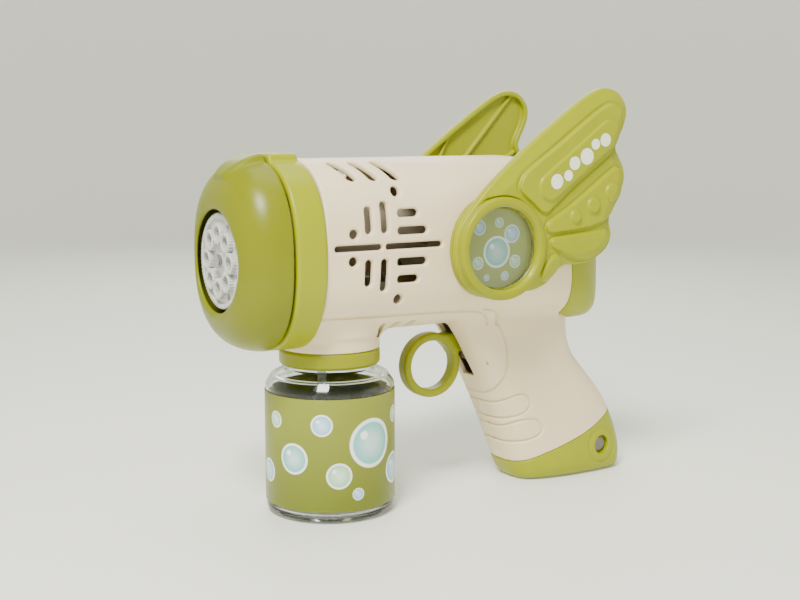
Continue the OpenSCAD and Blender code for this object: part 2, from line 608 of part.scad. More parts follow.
module body_shell_left() body_shell(-1);
module body_shell_right() body_shell(1);
module wing_left() wing(-1);
module wing_right() wing(1);
module hub_ring_left() hub_ring(-1);
module hub_ring_right() hub_ring(1);
module hub_label_left() hub_label(-1);
module hub_label_right() hub_label(1);
module hub_lens_left() hub_lens(-1);
module hub_lens_right() hub_lens(1);

body_shell_left();
body_shell_right();
front_collar();
nose_cap();
tail_cap();
wing_left();
wing_right();
hub_ring_left();
hub_ring_right();
hub_label_left();
hub_label_right();
hub_lens_left();
hub_lens_right();
bubble_wheel();
wheel_axle();
nose_bulkhead();
drip_tray();
led_board();
leds();
air_duct();
fan_housing();
fan_impeller();
motor();
motor_shaft();
motor_pinion();
idler_gear();
idler_shaft();
drive_gear();
drive_shaft();
wheel_pinion();
gearbox_plate_front();
gearbox_plate_rear();
pump_housing();
pump_rotor();
pump_rollers();
pump_hose();
suction_tube();
tube_adapter();
neck_seal();
bottle_collar();
bottle();
bottle_label();
trigger();
trigger_spring();
trigger_guide();
switch_bracket();
micro_switch();
battery_box();
battery_cells();
battery_contacts();
wires();
grip_base();
base_screw();
body_screws();
hub_screws();
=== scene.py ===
import json
import math
from concurrent.futures import ThreadPoolExecutor
import bpy
import numpy as np
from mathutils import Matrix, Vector


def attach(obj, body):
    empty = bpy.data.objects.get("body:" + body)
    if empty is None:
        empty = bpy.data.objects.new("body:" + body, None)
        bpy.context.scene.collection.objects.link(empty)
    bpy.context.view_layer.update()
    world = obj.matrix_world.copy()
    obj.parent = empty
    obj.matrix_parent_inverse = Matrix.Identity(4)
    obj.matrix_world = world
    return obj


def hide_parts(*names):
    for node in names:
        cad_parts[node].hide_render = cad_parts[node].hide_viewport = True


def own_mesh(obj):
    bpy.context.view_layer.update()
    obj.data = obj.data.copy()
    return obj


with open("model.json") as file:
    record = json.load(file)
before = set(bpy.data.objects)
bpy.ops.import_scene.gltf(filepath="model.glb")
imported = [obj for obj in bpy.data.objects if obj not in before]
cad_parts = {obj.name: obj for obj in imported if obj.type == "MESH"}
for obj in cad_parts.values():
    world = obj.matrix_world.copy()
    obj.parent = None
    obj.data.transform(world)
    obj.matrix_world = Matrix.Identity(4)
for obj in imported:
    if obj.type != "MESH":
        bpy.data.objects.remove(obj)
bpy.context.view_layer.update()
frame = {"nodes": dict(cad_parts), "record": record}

# Places are in mm about the barrel's datum, 14.3 mm behind the middle of the toy and 80 mm above the ground.
DX, DZ = -14.3, 80.0
HUB_X, HUB_Z = 23.9, 22.5
BOTTLE_X = -32.0
WHEEL_Z = 20.0
WALL = 2.3


def to_frame(v):
    v = np.asarray(v, float).copy()
    v[:, 0] += DX
    v[:, 2] += DZ
    return v / 1000.0


# ---------------------------------------------------------------- mesh making
def new_mesh(name, verts, faces):
    """verts in mm about the barrel's datum; faces an (n,3) or (n,4) array."""
    v = to_frame(verts).astype(np.float32)
    f = np.asarray(faces, np.int32)
    k = f.shape[1]
    me = bpy.data.meshes.new(name)
    me.vertices.add(len(v))
    me.vertices.foreach_set("co", v.ravel())
    me.loops.add(f.size)
    me.loops.foreach_set("vertex_index", f.ravel())
    me.polygons.add(len(f))
    me.polygons.foreach_set("loop_start", np.arange(0, f.size, k, dtype=np.int32))
    me.polygons.foreach_set("loop_total", np.full(len(f), k, np.int32))
    me.polygons.foreach_set("use_smooth", np.full(len(f), True))
    me.update(calc_edges=True)
    me.validate()
    ob = bpy.data.objects.new(name, me)
    bpy.context.scene.collection.objects.link(ob)
    return ob


def mesh_field(f, lo, hi, h, n=6, polish=2):
    """Surface of f = 0 (f is a distance in mm, negative inside), from cells of size h."""
    lo, hi = np.array(lo, float) - h * 0.37, np.array(hi, float)
    nb = np.ceil((hi - lo) / (h * n)).astype(int)
    blocks = np.indices(nb).reshape(3, -1).T
    big = h * n
    keep = []
    for s in range(0, len(blocks), 400000):
        b = blocks[s:s + 400000]
        keep.append(np.abs(f(lo + (b + 0.5) * big)) < big * 1.15 + h)
    blocks = blocks[np.concatenate(keep)]
    g = np.indices((n + 1,) * 3).reshape(3, -1).T
    dims = nb * n + 1
    stride = np.array([dims[1] * dims[2], dims[2], 1], np.int64)
    corners = [(i, j, k) for i in (0, 1) for j in (0, 1) for k in (0, 1)]
    edges = [(a, b) for a in range(8) for b in range(a + 1, 8)
             if sum(abs(corners[a][t] - corners[b][t]) for t in range(3)) == 1]
    keys, pos, flags, signs = [], [], [], []
    for s in range(0, len(blocks), 1500):
        b = blocks[s:s + 1500]
        p = (b[:, None, :] * n + g[None]).reshape(-1, 3)
        v = f(lo + p * h).reshape(len(b), n + 1, n + 1, n + 1)
        c = np.stack([v[:, i:n + i, j:n + j, k:n + k] for i, j, k in corners], -1)
        neg = c < 0
        cnt = neg.sum(-1)
        act = np.nonzero((cnt > 0) & (cnt < 8))
        if not len(act[0]):
            continue
        c, neg = c[act], neg[act]
        cell = b[act[0]] * n + np.stack(act[1:], 1)
        acc = np.zeros((len(c), 3))
        num = np.zeros(len(c))
        for a, e in edges:
            cross = neg[:, a] != neg[:, e]
            t = np.where(cross, c[:, a] / np.where(cross, c[:, a] - c[:, e], 1.0), 0.0)
            pa, pe = np.array(corners[a], float), np.array(corners[e], float)
            acc += np.where(cross[:, None], pa + (pe - pa) * t[:, None], 0.0)
            num += cross
        keys.append(cell @ stride)
        pos.append(lo + (cell + acc / num[:, None]) * h)
        flags.append(np.stack([neg[:, 0] != neg[:, 4], neg[:, 0] != neg[:, 2], neg[:, 0] != neg[:, 1]], 1))
        signs.append(neg[:, 0])
    keys, pos = np.concatenate(keys), np.concatenate(pos)
    flags, signs = np.concatenate(flags), np.concatenate(signs)
    order = np.argsort(keys)
    keys, pos, flags, signs = keys[order], pos[order], flags[order], signs[order]
    quads = []
    for a in range(3):
        sb, sc = stride[(a + 1) % 3], stride[(a + 2) % 3]
        i0 = np.nonzero(flags[:, a])[0]
        k0 = keys[i0]
        ids, ok = [i0], np.ones(len(i0), bool)
        for d in (sb, sb + sc, sc):
            q = np.searchsorted(keys, k0 - d)
            q = np.minimum(q, len(keys) - 1)
            ok &= keys[q] == k0 - d
            ids.append(q)
        q = np.stack(ids, 1)[ok]
        flip = ~signs[i0][ok]
        q[flip] = q[flip][:, ::-1]
        quads.append(q)
    quads = np.concatenate(quads)
    e = 0.08
    for _ in range(polish):
        d = f(pos)
        gr = np.stack([f(pos + e * np.eye(3)[t]) - f(pos - e * np.eye(3)[t]) for t in range(3)], 1) / (2 * e)
        m = np.maximum((gr * gr).sum(1), 0.25)
        pos = pos - gr * np.clip(d / m, -h * 0.6, h * 0.6)[:, None]
    return pos, quads


def smin(a, b, k):
    t = np.clip(0.5 + 0.5 * (b - a) / k, 0, 1)
    return b + (a - b) * t - k * t * (1 - t)


def smax(a, b, k):
    return -smin(-a, -b, k)


def step(a, b, x):
    t = np.clip((x - a) / (b - a), 0, 1)
    return t * t * (3 - 2 * t)


def oval(u, v, a, b, n):
    u, v = np.abs(u) + 1e-6, np.abs(v) + 1e-6
    g = ((u / a) ** n + (v / b) ** n) ** (1 / n)
    gu, gv = (u / a) ** (n - 1) / a * g ** (1 - n), (v / b) ** (n - 1) / b * g ** (1 - n)
    return (g - 1) / np.sqrt(gu * gu + gv * gv)


def smooth_loop(pts, m=10, closed=True):
    """Rounded curve through pts."""
    p = np.array(pts, float)
    n = len(p)
    out = []
    for i in range(n if closed else n - 1):
        if closed:
            a, b, c, d = p[i - 1], p[i], p[(i + 1) % n], p[(i + 2) % n]
        else:
            a, b, c, d = p[max(i - 1, 0)], p[i], p[i + 1], p[min(i + 2, n - 1)]
        t = np.linspace(0, 1, m, endpoint=False)[:, None]
        out.append(0.5 * (2 * b + (c - a) * t + (2 * a - 5 * b + 4 * c - d) * t ** 2
                          + (3 * b - a - 3 * c + d) * t ** 3))
    if not closed:
        out.append(p[-1:])
    return np.concatenate(out)


class Flat:
    """A function of two coordinates kept on a fine grid."""

    def __init__(self, lo, hi, fn, h=0.25):
        self.lo, self.h = np.array(lo, float), h
        n = np.ceil((np.array(hi, float) - self.lo) / h).astype(int) + 1
        u, v = np.meshgrid(self.lo[0] + np.arange(n[0]) * h, self.lo[1] + np.arange(n[1]) * h, indexing="ij")
        self.g = fn(u.ravel(), v.ravel()).reshape(n)

    def __call__(self, u, v):
        a = np.clip((u - self.lo[0]) / self.h, 0, self.g.shape[0] - 1.001)
        b = np.clip((v - self.lo[1]) / self.h, 0, self.g.shape[1] - 1.001)
        i, j = a.astype(int), b.astype(int)
        a, b, g = a - i, b - j, self.g
        return ((g[i, j] * (1 - a) + g[i + 1, j] * a) * (1 - b)
                + (g[i, j + 1] * (1 - a) + g[i + 1, j + 1] * a) * b)


def seg_dist(u, v, a, b):
    a, b = np.array(a, float), np.array(b, float)
    d = b - a
    t = np.clip(((u - a[0]) * d[0] + (v - a[1]) * d[1]) / max(d @ d, 1e-9), 0, 1)
    return np.hypot(u - a[0] - t * d[0], v - a[1] - t * d[1])


def path_dist(u, v, pts, closed=False):
    best = np.full(len(u), 1e9)
    pts = np.asarray(pts, float)
    for i in range(len(pts) if closed else len(pts) - 1):
        best = np.minimum(best, seg_dist(u, v, pts[i], pts[(i + 1) % len(pts)]))
    return best


def loop_dist(u, v, pts):
    """Signed distance to a closed outline, negative inside."""
    pts = np.asarray(pts, float)
    inside = np.zeros(len(u), bool)
    for i in range(len(pts)):
        a, b = pts[i - 1], pts[i]
        if a[1] != b[1]:
            c = (a[1] > v) != (b[1] > v)
            inside ^= c & (u < (b[0] - a[0]) * (v - a[1]) / (b[1] - a[1]) + a[0])
    d = path_dist(u, v, pts, True)
    return np.where(inside, -d, d)


def lathe(name, prof, at, axis="z", seg=160):
    """prof: (radius, height) loop; turned round a line through at along the z or y axis."""
    p = np.array(prof, float)
    m, k = len(p), seg
    t = np.arange(k) / k * 2 * math.pi
    r, h = np.repeat(p[:, 0], k), np.repeat(p[:, 1], k)
    c, s = np.tile(np.cos(t), m), np.tile(np.sin(t), m)
    if axis == "z":
        v = np.stack([at[0] + r * c, at[1] + r * s, at[2] + h], 1)
    else:
        v = np.stack([at[0] + r * s, at[1] + h, at[2] + r * c], 1)
    f = []
    i = np.arange(k)
    for a in range(m):
        b = (a + 1) % m
        f.append(np.stack([a * k + i, a * k + (i + 1) % k, b * k + (i + 1) % k, b * k + i], 1))
    return new_mesh(name, v, np.concatenate(f))


def fillet(pts, steps=6):
    """(r, h, radius) corners to a rounded closed profile."""
    p = np.array(pts, float)
    out = []
    for i in range(len(p)):
        a, b, c = p[i - 1, :2], p[i, :2], p[(i + 1) % len(p), :2]
        rad = p[i, 2]
        if rad <= 0:
            out.append(b)
            continue
        u, w = (a - b) / np.linalg.norm(a - b), (c - b) / np.linalg.norm(c - b)
        ang = math.acos(max(-1, min(1, float(u @ w))))
        d = min(rad / math.tan(ang / 2), 0.49 * np.linalg.norm(a - b), 0.49 * np.linalg.norm(c - b))
        s, e = b + u * d, b + w * d
        for t in np.linspace(0, 1, steps):
            out.append((1 - t) ** 2 * s + 2 * t * (1 - t) * b + t * t * e)
    return out


def finish_piece(ob, mat, body, slot, *nodes):
    ob.data.materials.clear()
    ob.data.materials.append(mat)
    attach(ob, body)
    if nodes:
        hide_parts(*nodes)
    return ob


# ---------------------------------------------------------------- materials
def base_mat(name):
    m = bpy.data.materials.new(name)
    m.use_nodes = True
    nt = m.node_tree
    return m, nt, nt.nodes["Principled BSDF"]


def noise(nt, scale, detail=2.0, rough=0.5):
    co = nt.nodes.new("ShaderNodeTexCoord")
    n = nt.nodes.new("ShaderNodeTexNoise")
    n.inputs["Scale"].default_value = scale
    n.inputs["Detail"].default_value = detail
    n.inputs["Roughness"].default_value = rough
    nt.links.new(co.outputs["Object"], n.inputs["Vector"])
    return n.outputs["Fac"]


def remap(nt, val, lo, hi, a=0.0, b=1.0):
    m = nt.nodes.new("ShaderNodeMapRange")
    m.inputs["From Min"].default_value = a
    m.inputs["From Max"].default_value = b
    m.inputs["To Min"].default_value = lo
    m.inputs["To Max"].default_value = hi
    nt.links.new(val, m.inputs["Value"])
    return m.outputs["Result"]


def mix(nt, fac, a, b):
    m = nt.nodes.new("ShaderNodeMix")
    m.data_type = "RGBA"
    if isinstance(fac, float):
        m.inputs[0].default_value = fac
    else:
        nt.links.new(fac, m.inputs[0])
    for sock, val in ((m.inputs[6], a), (m.inputs[7], b)):
        if isinstance(val, (tuple, list)):
            sock.default_value = (*val[:3], 1)
        else:
            nt.links.new(val, sock)
    return m.outputs[2]


def calc(nt, operation, a, b=None):
    """One maths node; a and b are sockets or numbers."""
    m = nt.nodes.new("ShaderNodeMath")
    m.operation = operation
    for sock, val in zip(m.inputs, (a, b)):
        if isinstance(val, (int, float)):
            sock.default_value = val
        elif val is not None:
            nt.links.new(val, sock)
    return m.outputs[0]


def object_xyz(nt):
    co = nt.nodes.new("ShaderNodeTexCoord")
    sp = nt.nodes.new("ShaderNodeSeparateXYZ")
    nt.links.new(co.outputs["Object"], sp.inputs[0])
    return sp.outputs


def bump_chain(nt, bsdf, layers):
    prev = None
    for val, strength, dist in layers:
        b = nt.nodes.new("ShaderNodeBump")
        b.inputs["Strength"].default_value = strength
        b.inputs["Distance"].default_value = dist
        nt.links.new(val, b.inputs["Height"])
        if prev is not None:
            nt.links.new(prev, b.inputs["Normal"])
        prev = b.outputs["Normal"]
    nt.links.new(prev, bsdf.inputs["Normal"])


def plastic(name, col, rough=0.38, grain=0.10, sss=0.0, coat=0.0, vary=0.05, colour=None):
    """Injection-moulded plastic: faint flow marks, fine grain, and slight change of gloss."""
    m, nt, b = base_mat(name)
    flow = noise(nt, 28, 3)
    fine = noise(nt, 420, 3, 0.6)
    dust = noise(nt, 2300, 2)
    c = colour(nt) if colour else col
    lo = mix(nt, 1.0, (0, 0, 0), c)
    dark = nt.nodes.new("ShaderNodeHueSaturation")
    dark.inputs["Saturation"].default_value = 1.04
    dark.inputs["Value"].default_value = 1 - vary * 1.6
    nt.links.new(lo, dark.inputs["Color"])
    tint = mix(nt, remap(nt, flow, 0.0, 1.0, 0.3, 0.7), dark.outputs["Color"], lo)
    nt.links.new(tint, b.inputs["Base Color"])
    nt.links.new(remap(nt, fine, rough - 0.05, rough + 0.06, 0.25, 0.75), b.inputs["Roughness"])
    b.inputs["Specular IOR Level"].default_value = 0.28
    if sss:
        b.inputs["Subsurface Weight"].default_value = sss
        b.inputs["Subsurface Radius"].default_value = (0.004, 0.003, 0.0015)
        b.inputs["Subsurface Scale"].default_value = 0.4
    if coat:
        b.inputs["Coat Weight"].default_value = coat
        b.inputs["Coat Roughness"].default_value = 0.12
    bump_chain(nt, b, [(fine, grain, 0.00006), (dust, grain * 0.8, 0.00003)])
    return m


def metal(name, col, rough=0.28, brushed=(1, 1, 1)):
    m, nt, b = base_mat(name)
    co = nt.nodes.new("ShaderNodeTexCoord")
    mp = nt.nodes.new("ShaderNodeMapping")
    mp.inputs["Scale"].default_value = brushed
    nt.links.new(co.outputs["Object"], mp.inputs["Vector"])
    n = nt.nodes.new("ShaderNodeTexNoise")
    n.inputs["Scale"].default_value = 900
    n.inputs["Detail"].default_value = 3
    nt.links.new(mp.outputs["Vector"], n.inputs["Vector"])
    b.inputs["Metallic"].default_value = 1.0
    tint = mix(nt, remap(nt, n.outputs["Fac"], 0, 1, 0.3, 0.7), [v * 0.82 for v in col], col)
    nt.links.new(tint, b.inputs["Base Color"])
    nt.links.new(remap(nt, n.outputs["Fac"], rough - 0.08, rough + 0.1, 0.3, 0.7), b.inputs["Roughness"])
    bump_chain(nt, b, [(n.outputs["Fac"], 0.12, 0.00003)])
    return m


def clear(name, col, rough=0.04, ior=1.46):
    m, nt, b = base_mat(name)
    n = noise(nt, 60, 2)
    b.inputs["Base Color"].default_value = (*col, 1)
    b.inputs["Transmission Weight"].default_value = 1.0
    b.inputs["IOR"].default_value = ior
    nt.links.new(remap(nt, n, rough, rough + 0.04, 0.3, 0.7), b.inputs["Roughness"])
    bump_chain(nt, b, [(n, 0.06, 0.0002)])
    return m


CREAM = (0.85, 0.715, 0.48)
LIME = (0.31, 0.34, 0.0005)
LIME_DEEP = (0.27, 0.29, 0.0005)
# painted shade: the nose is moulded in the same lime as the collar, and this darker copy stands in for the
# shade that falls over it
LIME_NOSE_SHADED = (0.18, 0.20, 0.002)


def circle_paint(nt, col, u, v, c, r, fill, rim):
    """Paints one flat bubble: pale rim, tinted middle, small glint."""
    def dist(cu, cv):
        s = nt.nodes.new("ShaderNodeCombineXYZ")
        nt.links.new(calc(nt, "SUBTRACT", u, cu), s.inputs[0])
        nt.links.new(calc(nt, "SUBTRACT", v, cv), s.inputs[1])
        ln = nt.nodes.new("ShaderNodeVectorMath")
        ln.operation = "LENGTH"
        nt.links.new(s.outputs[0], ln.inputs[0])
        return ln.outputs["Value"]
    d = dist(c[0] / 1000, c[1] / 1000)
    r = r / 1000
    col = mix(nt, remap(nt, d, 1, 0, r * 0.98, r * 1.02), col, rim)
    inner = mix(nt, remap(nt, d, 0.0, 1.0, r * 0.2, r * 0.95), [0.5 + 0.5 * q for q in fill], fill)
    col = mix(nt, remap(nt, d, 1, 0, r * 0.82, r * 0.88), col, inner)
    g = dist((c[0] - 0.36 * r * 1000) / 1000, (c[1] + 0.36 * r * 1000) / 1000)
    return mix(nt, remap(nt, g, 1, 0, r * 0.15, r * 0.2), col, (0.95, 0.98, 1.0))


def plane_uv(nt, origin):
    """X and Z of a side face, in metres from a point given in mm about the datum."""
    xyz = object_xyz(nt)
    return [calc(nt, "SUBTRACT", xyz[0], (origin[0] + DX) / 1000),
            calc(nt, "SUBTRACT", xyz[2], (origin[1] + DZ) / 1000)]


BLUE, GREEN, TEAL = (0.22, 0.50, 0.72), (0.30, 0.62, 0.34), (0.12, 0.50, 0.47)
PALE, WHITE = (0.80, 0.86, 0.55), (0.92, 0.95, 0.93)


def hub_print(nt):
    u, v = plane_uv(nt, (HUB_X, HUB_Z))
    col = mix(nt, remap(nt, v, 0, 1, -0.016, 0.016), (0.30, 0.36, 0.05), (0.42, 0.48, 0.09))
    for c, r, f in (((-0.5, -1.5), 6.2, TEAL), ((6.6, 5.2), 3.6, BLUE), ((-8.6, 8.2), 2.9, BLUE),
                    ((8.2, -5.6), 2.6, GREEN), ((-9.2, -5.4), 2.5, GREEN), ((0.6, 9.8), 2.0, GREEN),
                    ((3.4, -11.0), 1.8, BLUE), ((-5.2, -11.2), 1.3, BLUE)):
        col = circle_paint(nt, col, u, v, c, r, f, WHITE)
    return col


def wing_print(nt):
    u, v = plane_uv(nt, (59.9, 55.8))
    col = LIME
    ax = (math.cos(math.radians(35.3)), math.sin(math.radians(35.3)))
    for t, o, r in ((-14.4, 0.2, 2.9), (-8.6, -1.2, 2.1), (-3.4, 0.9, 2.6), (3.0, -0.5, 3.2), (9.2, 0.9, 2.1),
                    (14.2, -0.6, 2.6)):
        c = (t * ax[0] - o * ax[1], t * ax[1] + o * ax[0])
        col = circle_paint(nt, col, u, v, c, r, PALE, WHITE)
    # only the wing's outer face is printed
    outward = calc(nt, "ABSOLUTE", object_xyz(nt)[1])
    return mix(nt, remap(nt, outward, 0, 1, 0.0343, 0.0349), LIME, col)


def bottle_print(nt):
    """Painted round the bottle: u runs along the label, v up from its middle."""
    xyz = object_xyz(nt)
    across = calc(nt, "SUBTRACT", xyz[0], (BOTTLE_X + DX) / 1000)
    angle = calc(nt, "ARCTAN2", across, calc(nt, "MULTIPLY", xyz[1], -1))
    u = calc(nt, "MULTIPLY", angle, 0.0254)
    v = calc(nt, "SUBTRACT", xyz[2], (-53 + DZ) / 1000)
    col = mix(nt, remap(nt, v, 0, 1, -0.02, 0.02), (0.165, 0.195, 0.018), (0.25, 0.28, 0.04))
    for c, r, f in (((-15.5, 11.5), 4.2, BLUE), ((4.5, 3.5), 9.5, TEAL), ((-9, -8), 5.0, GREEN),
                    ((20, 12), 3.4, GREEN), ((19, -9), 6.2, BLUE), ((-27, -2), 6.0, TEAL),
                    ((-36, 12), 3.2, GREEN), ((35, 4), 5.2, GREEN), ((-1.5, -15.5), 2.4, BLUE),
                    ((-42, -9), 4.6, BLUE), ((47, -8), 5.6, TEAL), ((50, 12), 3.0, BLUE), ((-56, 8),
                    5.0, GREEN), ((62, 2), 4.2, BLUE), ((-66, -12), 5.4, TEAL), ((72, 13), 3.2, GREEN),
                    ((76, -12), 3.6, GREEN)):
        col = circle_paint(nt, col, u, v, c, r, f, WHITE)
    return col


M = {
    "cream": plastic("cream_plastic", CREAM, 0.36, 0.10, sss=0.06),
    "lime": plastic("lime_plastic", LIME, 0.34, 0.10, sss=0.03),
    "lime_deep": plastic("deep_lime_plastic", LIME_DEEP, 0.33, 0.10),
    # painted shade: a darker copy of the lime for the nose cap
    "lime_nose": plastic("nose_lime_plastic", LIME_NOSE_SHADED, 0.33, 0.10),
    "wing": plastic("printed_wing_plastic", LIME, 0.34, 0.10, colour=wing_print),
    "hub_print": plastic("hub_print", LIME, 0.30, 0.04, colour=hub_print),
    "bottle_print": plastic("bottle_print", LIME, 0.32, 0.05, colour=bottle_print),
    # painted shade: the inner parts are cream plastic, coloured dark grey-brown here as if they were in the
    # shade inside the case
    "inner": plastic("inner_plastic", (0.42, 0.37, 0.29), 0.5, 0.15),
    "nylon": plastic("nylon", (0.80, 0.80, 0.76), 0.42, 0.12, sss=0.1),
    "black": plastic("black_plastic", (0.035, 0.035, 0.038), 0.45, 0.2),
    "pcb": plastic("circuit_board", (0.02, 0.20, 0.07), 0.3, 0.1),
    "steel": metal("steel", (0.62, 0.62, 0.64), 0.25, (1, 1, 12)),
    "can": metal("motor_can", (0.60, 0.61, 0.63), 0.32, (12, 1, 1)),
    "brass": metal("brass", (0.78, 0.58, 0.25), 0.25, (12, 1, 1)),
    "screw": metal("dark_screw", (0.20, 0.19, 0.17), 0.38, (1, 1, 12)),
    "contact": metal("contact_plate", (0.72, 0.72, 0.70), 0.22),
    "seal": plastic("seal_rubber", (0.02, 0.02, 0.02), 0.6, 0.25),
    "wire": plastic("wire_insulation", (0.45, 0.02, 0.02), 0.4, 0.1),
    "cell": plastic("cell_sleeve", (0.03, 0.13, 0.36), 0.25, 0.05, coat=0.3),
    "bottle": clear("bottle_plastic", (0.94, 0.97, 0.95), 0.03, 1.40),
    "lens": clear("lens_plastic", (0.97, 0.99, 0.98), 0.02, 1.40),
    "hose": clear("hose_silicone", (0.86, 0.90, 0.88), 0.30, 1.41),
}
m, nt, b = base_mat("frosted_wheel")
b.inputs["Transmission Weight"].default_value = 0.25
b.inputs["IOR"].default_value = 1.45
b.inputs["Subsurface Weight"].default_value = 0.3
b.inputs["Subsurface Radius"].default_value = (0.003, 0.003, 0.003)
fr = noise(nt, 380, 3)
tint = mix(nt, remap(nt, fr, 0, 1, 0.3, 0.7), (0.62, 0.63, 0.60), (0.80, 0.81, 0.78))
nt.links.new(tint, b.inputs["Base Color"])
nt.links.new(remap(nt, fr, 0.14, 0.26, 0.3, 0.7), b.inputs["Roughness"])
bump_chain(nt, b, [(fr, 0.12, 0.00005)])
M["frosted"] = m
m, nt, b = base_mat("led_lens")
b.inputs["Emission Color"].default_value = (1.0, 0.80, 0.35, 1)
b.inputs["Emission Strength"].default_value = 0.6
lf = noise(nt, 900, 2)
nt.links.new(mix(nt, lf, (1.0, 0.86, 0.5), (1.0, 0.95, 0.75)), b.inputs["Base Color"])
nt.links.new(remap(nt, lf, 0.08, 0.2, 0.3, 0.7), b.inputs["Roughness"])
M["led"] = m

# ---------------------------------------------------------------- barrel and grip shape
SIDE = smooth_loop([(-90, 90), (-20, 90), (22, 84), (38, 70), (48, 62), (57, 56.8), (66, 51), (74.4, 43.6),
                    (81.6, 34.6), (87.6, 24), (91.6, 13), (93.0, 4), (91.6, -4), (88.2, -9.4), (83, -12.8),
                    (76, -14.4), (66, -16.5), (52, -26), (30, -50), (-60, -60), (-90, -40)], 6)
side_field = Flat((-92, -62), (112, 96), lambda u, v: loop_dist(u, v, SIDE), 0.5)


def barrel(x, y, z, inset=0.0):
    lo = -10 - 3.6 * step(54, 80, x)
    mid, half = (lo + 57) / 2, (57 - lo) / 2
    sec = oval(y, z - mid, 31 - inset, half - inset, 2.4)
    side = side_field(x, z) + inset
    rounded = oval(np.maximum(x - 44, 0), y, 49.2 - inset, 31.6 - inset, 2.1)
    plan = np.where(x > 44, rounded, np.abs(y) - 31.6 + inset)
    return smax(smax(sec, side, 6), plan, 6)


GRIP = smooth_loop([(22, 6), (18.4, -8), (23.6, -17.4), (30.2, -28.8), (35.0, -37.4), (40, -48),
                    (44.8, -59.6), (48.6, -69.6), (50.6, -75), (53, -78.8), (56.5, -80.8), (64, -81),
                    (80, -81), (98, -81), (103.6, -80.6), (106.9, -77), (108.5, -69.5), (107.2, -60.5),
                    (103.4, -51.6), (98, -44.8), (91.5, -38.5), (84.8, -32), (79.6, -26.4), (76.9, -20),
                    (76.8, -14), (78.5, -7), (80, 6), (60, 14), (36, 14)], 6)
grip_field = Flat((0, -90), (122, 30), lambda u, v: loop_dist(u, v, GRIP), 0.25)
LEAN = math.radians(26)
CL, SL = math.cos(LEAN), math.sin(LEAN)


def grip(x, y, z, inset=0.0):
    across = (x - 77.8) * CL + (z + 68.4) * SL
    sec = oval(across, y, 32.5 - inset, 17 - inset, 2.4)
    return smax(smax(sec, grip_field(x, z) + inset, 9), -80 + inset - z, 1.2)


def neck(x, y, z, inset=0.0):
    r = np.hypot(x - BOTTLE_X, y)
    return smax(smax(r - 19.6 + inset - 1.2 * step(-12, -9, z), -15.6 - z, 0.5), z + 3, 1.0)


def body_solid(x, y, z, inset=0.0):
    f = smin(barrel(x, y, z, inset), grip(x, y, z, inset), 2.5 if not inset else 1.0)
    return smin(f, neck(x, y, z, inset), 5 if not inset else 1.0)


# vents seen from the side, and relief lines pressed into the side
VENT_DOTS = ((-17.4, 44.9), (-36.9, 30.1), (-37.2, 20.1), (-17.0, 4.9))
VENT_SLOTS = (((-30.6, 31.4), (-30.6, 38.4)), ((-23.8, 31.4), (-23.8, 40.0)), ((-30.7, 12.0), (-30.7, 19.0)),
              ((-24.0, 9.8), (-24.0, 19.0)), ((-16.6, 37.1), (-10.6, 37.1)), ((-16.8, 30.6), (-6.9, 30.6)),
              ((-17.1, 19.0), (-7.1, 19.0)), ((-16.8, 12.5), (-10.6, 12.5)), ((-43.8, 25.0), (-26.2, 25.0)),
              ((-22.4, 25.0), (0.0, 25.0)))


def vent_map(u, v):
    d = np.full(len(u), 1e3)
    for c in VENT_DOTS:
        d = np.minimum(d, np.hypot(u - c[0], v - c[1]) - 1.8)
    for i, (a, b) in enumerate(VENT_SLOTS):
        d = np.minimum(d, seg_dist(u, v, a, b) - (1.5 if i < 8 else 1.15))
    return d


vent_field = Flat((-60, -16), (40, 64), vent_map, 0.2)
PADS = [smooth_loop([(35.6, -5), (36.8, -10.2), (39.2, -14.5), (41.1, -20.2), (41.9, -25.9), (41.9, -29.4),
                     (40.9, -33.6), (39.3, -36.9), (37.9, -39.6), (37.2, -41.2), (36.4, -42.0)], 8, False),
        smooth_loop([(36.6, -44.2), (37.6, -45.0), (38.6, -45.0), (40.6, -44.2), (43.2, -42.8), (46.8, -41.4),
                     (50.2, -41.2), (52.6, -43.0), (53.4, -45.6), (52.2, -48.2), (49.2, -49.9), (45.4, -51.0),
                     (43.0, -51.7), (41.6, -52.0), (40.4, -51.8)], 8, False),
        smooth_loop([(41.4, -55.0), (42.8, -55.6), (44.4, -55.0), (47.8, -53.0), (51.8, -52.2), (56.5, -52.7),
                     (59.3, -55.2), (59.8, -57.4), (58.3, -59.4), (54.3, -61.0), (50, -61.8), (47.1, -62.3),
                     (45.6, -62.3), (44.4, -62.0)], 8, False)]
STEP_LINE = smooth_loop([(-60, -0.8), (-46.2, -1.1), (-35.8, -1.4), (-18.2, -1.9), (0, -2.3), (14.2, -2.8),
                         (21.1, -3.5), (24.7, -4.1), (28.2, -5.3), (31.0, -7.6), (31.6, -10)], 8, False)
STEP_TWO = smooth_loop([(25.6, -2.6), (28.0, -3.3), (30.8, -3.7), (33.6, -4.8), (35.3, -6.8),
                        (35.8, -10.4)], 8,
                       False)


GROOVE_DEPTH, GROOVE_HALF = 0.95, 0.48


def relief_map(u, v):
    h = np.zeros(len(u))
    for p in PADS + [STEP_LINE, STEP_TWO]:
        h += GROOVE_DEPTH * np.exp(-(path_dist(u, v, p) / GROOVE_HALF) ** 2)
    return h


relief_field = Flat((-62, -66), (66, 6), relief_map, 0.15)


def relief(x, z):
    inside = (x > -62) & (x < 66) & (z > -66) & (z < 6)
    return np.where(inside, relief_field(x, z), 0.0)


def tail_line(x, z):
    """Negative ahead of the curved joint of the tail cap."""
    return np.hypot(x + 158, z + 20) - 225


